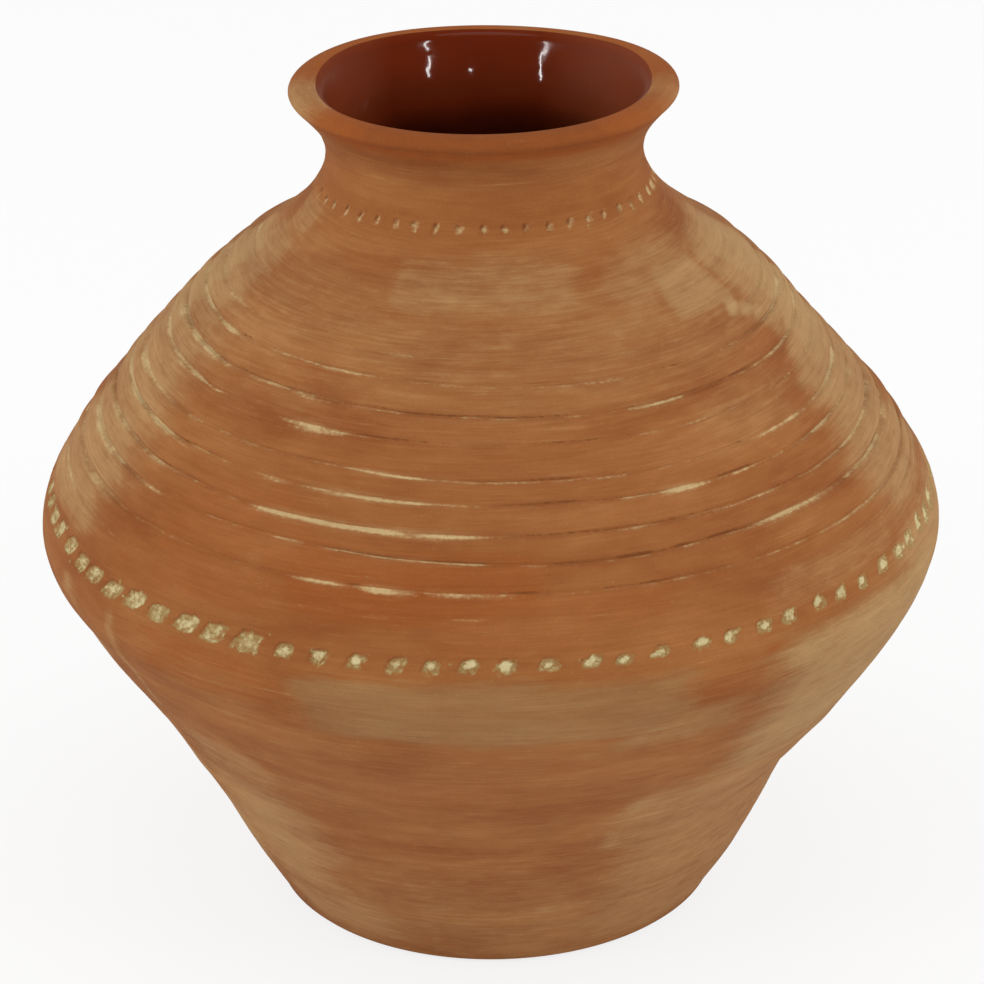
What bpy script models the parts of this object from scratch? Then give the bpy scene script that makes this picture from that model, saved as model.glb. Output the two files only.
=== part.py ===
# Hand-thrown terracotta vase, built the potter's way: turned clay sections keyed and luted
# together at their seams, with a glaze coat inside. Metres, +Z up, origin under the foot.
import math

import bmesh
import bpy
import numpy as np
from mathutils import Matrix, Vector

# Outer profile: the rise from the station below, and the radius there
FOOT_RADIUS = 0.0735
CUP_RISE = 0.034
CUP_RADIUS = 0.0925
FOOT_SEAM_RISE = 0.032
FOOT_SEAM_RADIUS = 0.1098
FLARE_RISE = 0.046
FLARE_INSET = 0.0073  # from the belly's radius
BELLY_RISE = 0.0215
BELLY_RADIUS = 0.1482
HAUNCH_RISE = 0.0215
HAUNCH_INSET = 0.0088  # from the belly's radius
SHOULDER_RISE = 0.035
SHOULDER_RADIUS = 0.1122
SHOULDER_TOP_RISE = 0.030
SHOULDER_TOP_RADIUS = 0.0846
NECK_ROOT_RISE = 0.0186
NECK_ROOT_RADIUS = 0.0611
NECK_RISE = 0.0179
NECK_RADIUS = 0.0509
NECK_FLARE_RISE = 0.0095
NECK_FLARE_RADIUS = 0.0534
LIP_RISE = 0.0104
LIP_RADIUS = 0.0623

# Walls, floor and lip
WALL = 0.0068
FLOOR = 0.009
FOOT_EDGE = 0.003
LIP_WIDTH = 0.0115
LIP_HEIGHT = 0.0072
GLAZE = 0.0008
GLAZE_TURN = math.radians(48)  # how far the glaze climbs round the lip from its inner edge

# Seams: each is keyed by a ridge and luted with slip
SEAM_ABOVE_BELLY = 0.003
SEAM_ABOVE_NECK_ROOT = 0.0034
LIP_SEAM_BELOW_LIP = 0.0064
KEY = 0.002
LUTING = 0.001
CLEARANCE = 0.0003

# Stamped dots above the belly seam, nicks above the neck seam
DOT_COUNT = 79
DOT_ABOVE_SEAM = 0.0076
DOT_WIDTH = 0.0054
DOT_TALL = 0.0046
DOT_DEPTH = 0.0012
NICK_COUNT = 48
NICK_ABOVE_SEAM = 0.0062
NICK_WIDTH = 0.0011
NICK_TALL = 0.0026
NICK_DEPTH = 0.0007
NICK_SLANT = math.radians(18)
STAMP_TAPER = 0.6
STAMP_CORNER = math.sqrt(0.5)  # from the middle of a square of side 1 to its corner
STAMP_PROUD = 0.002

# Incised rings on the shoulder: the first above the dots, then the gap to each next one
RING_ABOVE_DOTS = 0.0128
RING_GAPS = (0.0058, 0.0078, 0.0064, 0.0074, 0.0059, 0.0085, 0.0068, 0.0069, 0.0055)
RING_WIDTH = 0.0016
RING_DEPTH = 0.0007

# Mesh fineness
SIDES = 44
FACE_STEP = 0.011
LINING_STEP = 0.024
NECK_STEP = 0.008
LIP_STEPS = 8
GLAZE_STEPS = 2
EDGE_STEPS = 3


def clear_scene():
    for thing in list(bpy.data.objects):
        bpy.data.objects.remove(thing, do_unlink=True)


# Running heights of the stations and seams
def heights_from(rises):
    return np.cumsum((0.0,) + rises)


STATION_HEIGHTS = heights_from((CUP_RISE, FOOT_SEAM_RISE, FLARE_RISE, BELLY_RISE, HAUNCH_RISE, SHOULDER_RISE,
                                SHOULDER_TOP_RISE, NECK_ROOT_RISE, NECK_RISE, NECK_FLARE_RISE, LIP_RISE))
STATION_RADII = np.array((FOOT_RADIUS, CUP_RADIUS, FOOT_SEAM_RADIUS, BELLY_RADIUS - FLARE_INSET, BELLY_RADIUS,
                          BELLY_RADIUS - HAUNCH_INSET, SHOULDER_RADIUS, SHOULDER_TOP_RADIUS, NECK_ROOT_RADIUS,
                          NECK_RADIUS, NECK_FLARE_RADIUS, LIP_RADIUS))
LIP_MIDDLE = STATION_HEIGHTS[-1]
BASE_SEAM = FLOOR
FOOT_SEAM = STATION_HEIGHTS[2]
BELLY_SEAM = STATION_HEIGHTS[4] + SEAM_ABOVE_BELLY
NECK_SEAM = STATION_HEIGHTS[8] + SEAM_ABOVE_NECK_ROOT
LIP_SEAM = LIP_MIDDLE - LIP_SEAM_BELOW_LIP
LUTED_GAP = LUTING + 2 * CLEARANCE
DOT_HEIGHT = BELLY_SEAM + DOT_ABOVE_SEAM
NICK_HEIGHT = NECK_SEAM + NICK_ABOVE_SEAM
RING_HEIGHTS = DOT_HEIGHT + RING_ABOVE_DOTS + heights_from(RING_GAPS)


# Second derivatives of the smooth curve that runs through all stations
def curve_bends():
    steps = np.diff(STATION_HEIGHTS)
    count = len(STATION_HEIGHTS)
    rows = np.eye(count)
    sides = np.zeros(count)
    slopes = np.diff(STATION_RADII) / steps
    for i in range(1, count - 1):
        rows[i, i - 1:i + 2] = steps[i - 1], 2 * (steps[i - 1] + steps[i]), steps[i]
        sides[i] = 6 * (slopes[i] - slopes[i - 1])
    return np.linalg.solve(rows, sides)


BENDS = curve_bends()


# Outer radius of the wall at a height, and how fast it grows
def outer(height):
    i = int(np.clip(np.searchsorted(STATION_HEIGHTS, height) - 1, 0, len(STATION_HEIGHTS) - 2))
    step = STATION_HEIGHTS[i + 1] - STATION_HEIGHTS[i]
    up = (height - STATION_HEIGHTS[i]) / step
    down = 1 - up
    bend = ((down ** 3 - down) * BENDS[i] + (up ** 3 - up) * BENDS[i + 1]) * step ** 2 / 6
    return float(down * STATION_RADII[i] + up * STATION_RADII[i + 1] + bend)


def slope(height):
    near = 1e-5
    return (outer(height + near) - outer(height - near)) / (2 * near)


# Radius at a depth inside the wall, measured square to its outer face
def inside(height, depth):
    return outer(height) - depth * math.hypot(1, slope(height))


# Heights between two seams: every station on the way, with more where they lie far apart
def levels(low, high, step):
    stations = [low] + [h for h in STATION_HEIGHTS if low < h < high] + [high]
    heights = [low]
    for start, end in zip(stations, stations[1:]):
        count = math.ceil((end - start) / step)
        heights += [start + (end - start) * (i + 1) / count for i in range(count)]
    return heights


def outer_face(heights):
    return [(outer(h), h) for h in heights]


def inner_face(heights, depth=WALL):
    return [(inside(h, depth), h) for h in heights]


# The keyed seam runs level at both faces and rises to a ridge in the middle of the wall
def key_point(height):
    return (inside(height, WALL / 2), height + KEY)


# A turned solid: its outline runs down the outside, then back up the inside
def turned(name, outline, material, ring=True):
    mesh = bpy.data.meshes.new(name)
    count = len(outline)
    edges = [(i, (i + 1) % count) for i in range(count if ring else count - 1)]
    mesh.from_pydata([(radius, 0, height) for radius, height in outline], edges, [])
    thing = bpy.data.objects.new(name, mesh)
    bpy.context.collection.objects.link(thing)
    screw = thing.modifiers.new("turned", "SCREW")
    screw.steps = SIDES
    screw.render_steps = SIDES
    screw.use_merge_vertices = True
    screw.merge_threshold = 1e-5
    screw.use_smooth_shade = True
    mesh.materials.append(material)
    return thing


def clay(name, colour, roughness, metallic=0.0):
    material = bpy.data.materials.new(name)
    material.use_nodes = True
    shader = material.node_tree.nodes["Principled BSDF"]
    shader.inputs["Base Color"].default_value = (*colour, 1)
    shader.inputs["Roughness"].default_value = roughness
    shader.inputs["Metallic"].default_value = metallic
    return material


# One section of wall from its lower seam to its upper seam, with its outer face given upwards
def wall_section(name, face, lining, material):
    outline = face[::-1] + [key_point(lining[0])] + inner_face(lining) + [key_point(lining[-1])]
    return turned(name, outline, material)


def base_slab(material):
    middle = FOOT_RADIUS - FOOT_EDGE
    turns = [math.pi / 2 * i / EDGE_STEPS for i in range(EDGE_STEPS + 1)]
    edge = [(middle + (outer(FOOT_EDGE) - middle) * math.cos(a), FOOT_EDGE - FOOT_EDGE * math.sin(a)) for a in turns]
    rim = [(inside(FLOOR, WALL), FLOOR), key_point(FLOOR), (outer(FLOOR), FLOOR)]
    return turned("base_slab", [(0, FLOOR)] + rim + edge + [(0, 0)], material, ring=False)


# The thin ring of slip that fills a seam
def luting(name, seam, material):
    low = seam + CLEARANCE
    high = low + LUTING
    outline = [(outer(high), high), (outer(low), low), key_point(low), (inside(low, WALL), low),
               (inside(high, WALL), high), key_point(high)]
    return turned(name, outline, material)


# Shoulder face with its incised rings, each a shallow V with its lips on the plain wall
def ringed_face(heights):
    face = outer_face([h for h in heights if h < RING_HEIGHTS[0] - RING_WIDTH or h > RING_HEIGHTS[-1] + RING_WIDTH])
    for ring in RING_HEIGHTS:
        half = RING_WIDTH / 2 / math.hypot(1, slope(ring))
        face += outer_face((ring - half, ring + half))
        face.append((inside(ring, RING_DEPTH), ring))
    return sorted(face, key=lambda point: point[1])


# A row of tapered stamps set square to the wall, cut from one section
def stamped_row(section, count, height, width, tall, depth, slant=0.0):
    mesh = bpy.data.meshes.new(section.name + "_stamps")
    shape = bmesh.new()
    grow = STAMP_PROUD / depth * (1 - STAMP_TAPER)
    outward = Vector((1, 0, -slope(height))).normalized()
    across = Vector((0, 1, 0))
    square = Matrix((across, outward.cross(across), outward)).transposed().to_4x4()
    middle = Vector((outer(height), 0, height)) + outward * (STAMP_PROUD - depth) / 2
    place = Matrix.Translation(middle) @ square @ Matrix.Rotation(slant, 4, "Z")
    size = Matrix.Diagonal((width, tall, depth + STAMP_PROUD, 1)) @ Matrix.Rotation(math.pi / 4, 4, "Z")
    for i in range(count):
        turn = Matrix.Rotation(2 * math.pi * i / count, 4, "Z")
        bmesh.ops.create_cone(shape, cap_ends=True, segments=4, radius1=STAMP_TAPER * STAMP_CORNER,
                              radius2=(1 + grow) * STAMP_CORNER, depth=1, matrix=turn @ place @ size)
    shape.to_mesh(mesh)
    shape.free()
    stamps = bpy.data.objects.new(mesh.name, mesh)
    stamps.hide_render = True
    stamps.display_type = "WIRE"
    bpy.context.collection.objects.link(stamps)
    cut = section.modifiers.new("stamped", "BOOLEAN")
    cut.object = stamps
    cut.operation = "DIFFERENCE"
    cut.solver = "EXACT"


# Points round the lip's oval section, turning from its inner edge towards its outer edge
def lip_arc(start, end, steps, grown=0.0):
    half = LIP_WIDTH / 2
    points = []
    for i in range(steps + 1):
        turn = math.pi - start - (end - start) * i / steps
        radius = LIP_RADIUS - half + (half + grown) * math.cos(turn)
        points.append((radius, LIP_MIDDLE + (LIP_HEIGHT / 2 + grown) * math.sin(turn)))
    return points


def lip_roll(material):
    low = LIP_SEAM + CLEARANCE
    under = [(outer(low), low), key_point(low), (inside(low, WALL), low)]
    return turned("lip_roll", lip_arc(0, math.pi, LIP_STEPS) + under, material)


# One face of the glaze coat, from the floor's middle up the wall and over the lip's inner edge
def lining(heights, depth):
    floor = FLOOR + depth
    wall = [(0, floor), (inside(floor, WALL + depth), floor)] + inner_face(heights, WALL + depth)
    return wall + lip_arc(0, GLAZE_TURN, GLAZE_STEPS, depth)


def inner_glaze(heights, material):
    outline = lining(heights, CLEARANCE + GLAZE) + lining(heights, CLEARANCE)[::-1]
    return turned("inner_glaze", outline, material, ring=False)


def build():
    clear_scene()
    body_clay = clay("fired_terracotta", (0.34, 0.125, 0.042), 0.85)
    slip = clay("luting_slip", (0.36, 0.15, 0.06), 0.9)
    glaze = clay("brown_glaze", (0.035, 0.009, 0.004), 0.12)

    base_slab(body_clay)
    spans = ((BASE_SEAM + LUTED_GAP, FOOT_SEAM), (FOOT_SEAM + LUTED_GAP, BELLY_SEAM),
             (BELLY_SEAM + LUTED_GAP, NECK_SEAM), (NECK_SEAM + LUTED_GAP, LIP_SEAM))
    cup_face, belly_face, crown_face = (levels(*span, FACE_STEP) for span in spans[:3])
    cup_lining, belly_lining, crown_lining = (levels(*span, LINING_STEP) for span in spans[:3])
    neck = levels(*spans[3], NECK_STEP)
    wall_section("foot_cup", outer_face(cup_face), cup_lining, body_clay)
    wall_section("lower_belly", outer_face(belly_face), belly_lining, body_clay)
    shoulder = wall_section("shoulder", ringed_face(crown_face), crown_lining, body_clay)
    collar = wall_section("neck_collar", outer_face(neck), neck, body_clay)
    lip_roll(body_clay)
    for name, seam in (("base", BASE_SEAM), ("foot", FOOT_SEAM), ("belly", BELLY_SEAM), ("neck", NECK_SEAM)):
        luting(name + "_luting", seam, slip)
    stamped_row(shoulder, DOT_COUNT, DOT_HEIGHT, DOT_WIDTH, DOT_TALL, DOT_DEPTH)
    stamped_row(collar, NICK_COUNT, NICK_HEIGHT, NICK_WIDTH, NICK_TALL, NICK_DEPTH, NICK_SLANT)
    inner_glaze(cup_lining + belly_lining[1:] + crown_lining[1:] + neck[1:], glaze)


build()
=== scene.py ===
import math

import bpy
import numpy as np
from mathutils import Matrix


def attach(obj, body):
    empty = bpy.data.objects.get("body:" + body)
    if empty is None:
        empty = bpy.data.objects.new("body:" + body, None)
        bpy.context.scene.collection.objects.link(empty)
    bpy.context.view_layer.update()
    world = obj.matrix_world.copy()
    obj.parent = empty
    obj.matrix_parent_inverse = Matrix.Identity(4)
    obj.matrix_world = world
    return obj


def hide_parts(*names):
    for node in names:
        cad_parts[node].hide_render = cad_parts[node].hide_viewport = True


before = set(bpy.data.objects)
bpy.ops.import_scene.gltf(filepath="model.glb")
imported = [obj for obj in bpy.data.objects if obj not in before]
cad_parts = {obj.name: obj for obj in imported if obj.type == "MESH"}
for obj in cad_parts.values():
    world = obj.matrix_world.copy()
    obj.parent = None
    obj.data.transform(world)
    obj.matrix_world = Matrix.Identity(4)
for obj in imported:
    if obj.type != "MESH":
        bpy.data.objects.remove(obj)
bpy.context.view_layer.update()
scene = bpy.context.scene
scene.view_settings.view_transform = "Standard"
mm = 0.001  # sizes below are in millimetres, the meshes in metres
print("frame loaded with", len(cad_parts), "CAD nodes")

# camera: a long lens above the mouth, held a touch off level
view = {
    "place": (0.4, -1086.3, 624.7),
    "pitch": 24.21,
    "roll": -0.8,
    "lens": 131.13,
    "sensor": 36,
    "far": 30,  # metres
}
cameraData = bpy.data.cameras.new("viewCamera")
cameraData.lens = view["lens"]
cameraData.sensor_width = view["sensor"]
cameraData.clip_end = view["far"]
camera = bpy.data.objects.new("viewCamera", cameraData)
scene.collection.objects.link(camera)
tilt = Matrix.Rotation(math.radians(90 - view["pitch"]), 4, "X")
tilt = tilt @ Matrix.Rotation(math.radians(view["roll"]), 4, "Z")
camera.matrix_world = Matrix.Translation([c * mm for c in view["place"]]) @ tilt
scene.camera = camera
print("camera placed")

# the thrown wall: radius at each height, with a smooth curve between, and the seams of its sections
pot = {
    "heights": (0, 34, 66, 112, 133.5, 155, 190, 220, 238.6, 256.5, 266, 276.4),
    "radii": (73.5, 92.5, 109.8, 140.9, 148.2, 139.4, 112.2, 84.6, 61.1, 50.9, 53.4, 62.3),
    "seams": (9, 66, 136.5, 242, 270),
    "wall": 6.8,
    "footEdge": 3,  # the foot's edge is rounded over this height
    "lipWidth": 10.2,
    "lipHeight": 7.2,
    "lipRounding": 0.8,
    "footRelief": 0.5,  # share of the wall's relief that is left on the foot's edge
    "lipRelief": 0.6,
    "throat": (256, 44.1),  # height and inner radius at the narrowest point
    "flare": 1.5,  # how late the throat opens towards the lip
    "slopeStep": 0.01,
    "samples": 400,  # points along a stretch of wall that is measured
    "outlineStep": 0.1,
}
heights = np.array(pot["heights"], float)
radii = np.array(pot["radii"], float)


def wallBends():  # second derivatives of the curve at each height
    steps = np.diff(heights)
    slopes = np.diff(radii) / steps
    rows = np.eye(len(heights))
    sides = np.zeros(len(heights))
    for i in range(1, len(heights) - 1):
        rows[i, i - 1:i + 2] = steps[i - 1], 2 * (steps[i - 1] + steps[i]), steps[i]
        sides[i] = 6 * (slopes[i] - slopes[i - 1])
    return np.linalg.solve(rows, sides)


bends = wallBends()


def wallRadius(z):
    i = np.clip(np.searchsorted(heights, z) - 1, 0, len(heights) - 2)
    step = heights[i + 1] - heights[i]
    up = (z - heights[i]) / step
    down = 1 - up
    bend = ((down ** 3 - down) * bends[i] + (up ** 3 - up) * bends[i + 1]) * step ** 2 / 6
    return down * radii[i] + up * radii[i + 1] + bend


def wallSlope(z):
    step = pot["slopeStep"]
    return (wallRadius(z + step) - wallRadius(z - step)) / (2 * step)


def ease(low, high, x):
    t = np.clip((x - low) / (high - low), 0, 1)
    return t * t * (3 - 2 * t)


def between(x, low, high, soft):  # 1 inside a range, with soft ends
    return ease(low - soft, low + soft, x) * (1 - ease(high - soft, high + soft, x))


def turnFrom(deg, angle):  # signed angle from one place round the pot to another
    return (deg - angle + 180) % 360 - 180


def facing(deg, start, end, soft):  # 1 inside a stretch round the pot, -90 being the front
    away = np.abs(turnFrom(deg, (start + end) / 2))
    return 1 - ease((end - start) / 2 - soft, (end - start) / 2 + soft, away)


def hump(x, middle, half):  # 1 at the middle, fading to both sides
    return np.exp(-((x - middle) / half) ** 2)


def blend(fields, start, shares, *limits):  # a start plus shares of fields, held between the limits
    for name, share in shares.items():
        start = start + share * fields[name]
    return np.clip(start, *limits) if limits else start


noiseTable = {"rows": 97, "start": 40}  # rows of random values, used over again above the last


def softNoise(deg, z, cells, tall, seed):  # random values round the pot, smoothly joined, -1 to 1
    rows = noiseTable["rows"]
    grid = np.random.default_rng(seed).uniform(-1, 1, (rows, cells))
    across = deg / 360 % 1 * cells
    up = z / tall + noiseTable["start"]
    i = np.floor(across).astype(int)
    j = np.floor(up).astype(int)
    a = ease(0, 1, across - i)
    b = ease(0, 1, up - j)
    low = grid[j % rows, i % cells] * (1 - a) + grid[j % rows, (i + 1) % cells] * a
    high = grid[(j + 1) % rows, i % cells] * (1 - a) + grid[(j + 1) % rows, (i + 1) % cells] * a
    return low * (1 - b) + high * b


def arcAlong(line):  # length from the first point to each point
    return np.concatenate(([0], np.cumsum(np.hypot(*np.diff(line, axis=0).T))))


def rowsBetween(low, high, step):  # heights spaced evenly along the wall, both ends in
    z = np.linspace(low, high, pot["samples"])
    arc = arcAlong(np.stack((z, wallRadius(z)), 1))
    count = max(1, math.ceil(arc[-1] / step))
    return list(np.interp(np.linspace(0, arc[-1], count + 1), arc, z))


# how the pot leaves the true circle: slow bulges, flanks pushed in or out by hand, an upright crease
# a noise is given, here and below, by its cells round the pot, their height and its seed
unevenness = {
    "sway": 0.35,
    "swayNoise": (5, 70, 3),
    "swayStarts": (4, 40),  # from and to which height
    "swayHalves": (240, 270),
    "levels": (0, 20, 40, 52, 60, 68, 80, 92, 104, 116, 124, 132, 150, 164, 184, 196, 208, 221, 232, 244,
               280),
    "left": (0, 0.2, -0.6, -0.2, 0.4, -0.2, -1.3, -1.7, -1.8, -2.8, -1.0, -0.3, 0.2, 0.8, 1.4, -0.1, -0.4,
             -0.6, -0.8, 0.2, 0.3),
    "right": (0, 0.9, -0.4, -1.3, -1.4, 0.4, 2.1, 1.7, 1.3, 0.5, 0.1, 0.1, -0.3, -0.4, -1.8, -2.6, -1.9,
              -0.6, -0.8, -0.8, -0.7),
    "flanks": {"left": -164, "right": -16},  # the middle of each
    "flankFade": (8, 62),  # degrees away from there
    "neckRoot": (233, 13),  # height, half height
    "neckDrawn": 0.8,  # how far it is drawn in there
    "crease": -142,
    "creaseBand": (114, 218, 8),  # lowest, highest, soft end
    "creaseRise": (-14, -2),  # degrees from it
    "creaseFall": (-0.5, 0.5),
    "creaseStep": 0.6,
    "mouthWaves": ((2, 40, 0.42), (3, -65, 0.21)),  # times round, start, height
    "mouthRise": (256, 277),
}


def outOfRound(deg, z):
    part = unevenness
    out = part["sway"] * softNoise(deg, z, *part["swayNoise"])
    out = out * ease(*part["swayStarts"], z) * (1 - 0.5 * ease(*part["swayHalves"], z))
    for side, angle in part["flanks"].items():
        pushed = np.interp(z, part["levels"], part[side])
        out = out + pushed * (1 - ease(*part["flankFade"], np.abs(turnFrom(deg, angle))))
    out = out - part["neckDrawn"] * hump(z, *part["neckRoot"])
    off = turnFrom(deg, part["crease"])
    crease = ease(*part["creaseRise"], off) * (1 - ease(*part["creaseFall"], off))
    return out + part["creaseStep"] * crease * between(z, *part["creaseBand"])


def mouthLift(deg, z):
    waves = unevenness["mouthWaves"]
    lift = sum(tall * np.cos(np.radians(times * deg + start)) for times, start, tall in waves)
    return lift * ease(*unevenness["mouthRise"], z)


# incised rings: height, depth, strokes of cream slip left in them (from, to, load, half width) and dark
# stretches of crust and painted shadow in the groove (from, to, load)
rings = {
    "cuts": (
        (156.9, 0.3, ((-96, -90, 0.6, 0.4),),
         ((-110, -70, 0.3),)),
        (162.7, 0.55, ((-162, -157, 0.55, 1.1), (-117, -107, 0.85, 0.7), (-107, -100, 1.0, 1.1),
                       (-100, -88, 0.9, 0.8)),
         ((-117, -88, 0.5), (-88, -65, 0.7))),
        (170.5, 0.65, ((-180, -158, 0.7, 1.5), (-112, -88, 0.75, 0.5), (-54, -33, 0.95, 0.9),
                       (-31, -25, 0.5, 0.7), (-12, 4, 0.5, 1.1)),
         ((-74, -52, 0.9), (-52, -34, 0.4), (-23, -13, 0.8))),
        (176.9, 0.65, ((-172, -160, 0.7, 1.2), (-151, -142, 0.5, 1.0), (-126, -91, 1.1, 1.15),
                       (-70, -66, 0.5, 0.6), (-62, -54, 0.45, 0.6), (-51, -44, 0.7, 0.7),
                       (-40, -36, 0.5, 0.6), (-14, 4, 0.4, 1.3)),
         ((-152, -142, 0.5), (-90, -70, 0.4), (-66, -40, 0.5))),
        (184.3, 0.65, ((-172, -158, 0.75, 0.9), (-151, -142, 0.55, 1.4), (-128, -121, 0.6, 1.0),
                       (-121, -95, 0.95, 0.7), (-66, -56, 1.0, 1.1), (-56, -42, 0.6, 0.7),
                       (-20, 2, 0.4, 1.2)),
         ((-173, -157, 0.7), (-84, -76, 0.5), (-57, -47, 0.8))),
        (190.2, 0.5, ((-180, -162, 0.55, 1.4), (-147, -142, 0.55, 0.9), (-138, -128, 0.5, 0.8),
                      (-118, -93, 0.85, 0.5), (-91, -86, 0.5, 0.4), (-43, -25, 0.7, 0.8),
                      (-20, 4, 0.65, 0.7)),
         ((-90, -56, 0.5), (-50, -44, 0.4), (-24, -20, 0.8))),
        (198.7, 0.45, ((-163, -152, 0.75, 1.0), (-145, -142, 0.6, 0.8), (-127, -115, 0.95, 1.7),
                       (-114, -110, 0.5, 0.6), (-68, -48, 0.6, 0.5), (-26, -20, 0.4, 0.8)),
         ((-113, -90, 0.6), (-88, -60, 0.45))),
        (205.5, 0.6, ((-180, -164, 0.6, 2.0), (-163, -143, 0.8, 1.2), (-141, -130, 0.55, 1.0),
                      (-128, -115, 0.6, 1.5), (-96, -89, 0.5, 0.6), (-67, -53, 0.95, 1.0),
                      (-10, 4, 0.4, 1.2)),
         ((-112, -74, 0.4), (-52, -44, 0.4), (-42, -35, 0.7))),
        (212.4, 0.55, ((-180, -161, 0.5, 1.5), (-159, -144, 0.8, 0.9), (-138, -128, 0.55, 0.7),
                       (-128, -111, 0.8, 0.8), (-73, -62, 0.7, 0.9), (-14, 6, 0.8, 0.7)),
         ((-150, -143, 0.6), (-108, -84, 0.3), (-62, -48, 0.5))),
        (217.9, 0.3, ((-163, -157, 0.6, 0.9), (-115, -104, 0.45, 0.7), (-66, -42, 0.4, 0.7)),
         ((-132, -126, 0.3),)),
        (226.2, 0.2, (), ()),
    ),
    "boldLeft": (-190, -147, 5),  # the cuts are deeper and fuller of slip here
    "boldRight": (-36, 14, 8),
    "rightShare": 0.5,  # how bold the right is against the left
    "boldDepth": 0.8,  # what boldness adds to a cut's depth, thin slip, that slip's width and strokes
    "boldSlip": 0.8,
    "boldWide": 0.3,
    "boldStroke": 0.2,
    "back": (1, 176),  # the far side gets strokes by chance
    "backSeed": 200,
    "backFirst": (3, 25),
    "backLong": (6, 34),
    "backLoad": (0.4, 1.0),
    "backHalf": (0.5, 1.4),
    "backApart": (5, 40),
    "width": 0.62,
    "widthSwing": 0.25,
    "reach": 5,  # no mark of a cut goes further along the wall
    "lean": 2.0,  # the rings run lower on the right
    "wander": 0.6,
    "jitter": 0.4,  # finer wander against the slow one
    "shifted": (159, 224, 7),  # lowest, highest and soft end of what leans and wanders
    "rib": 0.95,  # the wall swells between two rings
    "ribbed": (158, 224, 3),
    "rows": (-2.1, -1.35, -0.85, -0.45, -0.1, 0.25, 0.65, 1.15, 1.9),  # mesh rows across each cut
    # lines that run along a cut: height over its bottom, half width
    "lowerBurr": (-1.2, 0.5),
    "upperBurr": (1.3, 0.6),
    "slipLine": (-0.3, 0.45),
    "slipSmear": (-0.5, 1.2),
    # the dark and crust lines: partly dark crust, partly painted shadow in the groove under the cut's upper
    # edge
    "darkLine": (0.45, 0.42),
    "crustAndShadeLine": (0.3, 0.4),
    # their height or load against the cut's depth
    "burrHigh": (0.3, 0.15),
    "slipShare": 0.85,
    "smearShare": 0.7,
    # painted shadow: a deeper cut gets a darker crust line
    "crustAndShadeShare": 0.75,
    "strokeTop": (0.1, 0.6),  # a stroke of slip ends between these heights
    "strokeSoft": (7.0, 2.4),  # soft end in degrees, and what a short stroke's length is divided by
    "strokeEnds": 1.2,  # degrees that its ends wander
    "strokeThick": (0.45, 0.55),  # at the ends, and what the load adds
    "strokeSag": 0.35,  # half widths below the cut's bottom
    "strokeSmear": (0.6, -0.3, 1.3),  # load, height, how much wider
    "darkSoft": 2.5,
    # each: a start, shares of noises, and the limits it is held between
    "ribSwell": (0.8, {"rib": 0.5, "bold": 0.2}),
    "uneven": (0.7, {"depth": 0.45, "skips": 0.3}),
    "cutLimits": (0.08, 1.4),  # for uneven, in the cut and in its crust and painted shadow
    "crustAndShadeLimits": (0, 1.2),
    "burrAndHighlight": (0.5, {"burrAndHighlight": 1}, 0, 1),
    "patchy": (0.85, {"patches": 0.4, "flecks": 0.25}, 0, 1.3),
    "thin": (0.55, {"thin": 0.6, "breaks": 0.5}, 0, 1.2),
    "boldThin": (0.9, {"bold": 1}, 0.2, 1.5),
    "dark": (0.6, {"dark": 1}, 0, 1.3),
    "noise": {"wander": (9, 9, 21), "jitter": (31, 7, 22), "rib": (12, 8, 23), "flecks": (60, 0.7, 29),
              "ends": (40, 0.9, 30)},
    "cutNoise": {"depth": (23, 5, 24), "skips": (90, 5, 25), "width": (40, 5, 26), "burrAndHighlight": (140, 5, 27),
                 "patches": (110, 5, 28), "dark": (130, 5, 31), "thin": (33, 5, 32), "breaks": (150, 5, 33),
                 "bold": (45, 5, 34)},  # these change only along the cut
}
cutHeights = np.array([cut[0] for cut in rings["cuts"]])


def backStrokes(seed):
    chance = np.random.default_rng(seed)
    made = []
    first, last = rings["back"]
    start = first + chance.uniform(*rings["backFirst"])
    while start < last - rings["backLong"][0]:
        end = min(start + chance.uniform(*rings["backLong"]), last)
        made.append((start, end, chance.uniform(*rings["backLoad"]), chance.uniform(*rings["backHalf"])))
        start = end + chance.uniform(*rings["backApart"])
    return tuple(made)


def ringShift(deg, z):
    noise = rings["noise"]
    lean = -rings["lean"] * np.sin(np.radians(deg + 90))
    wander = softNoise(deg, z, *noise["wander"]) + rings["jitter"] * softNoise(deg, z, *noise["jitter"])
    return (lean + rings["wander"] * wander) * between(z, *rings["shifted"])


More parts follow.
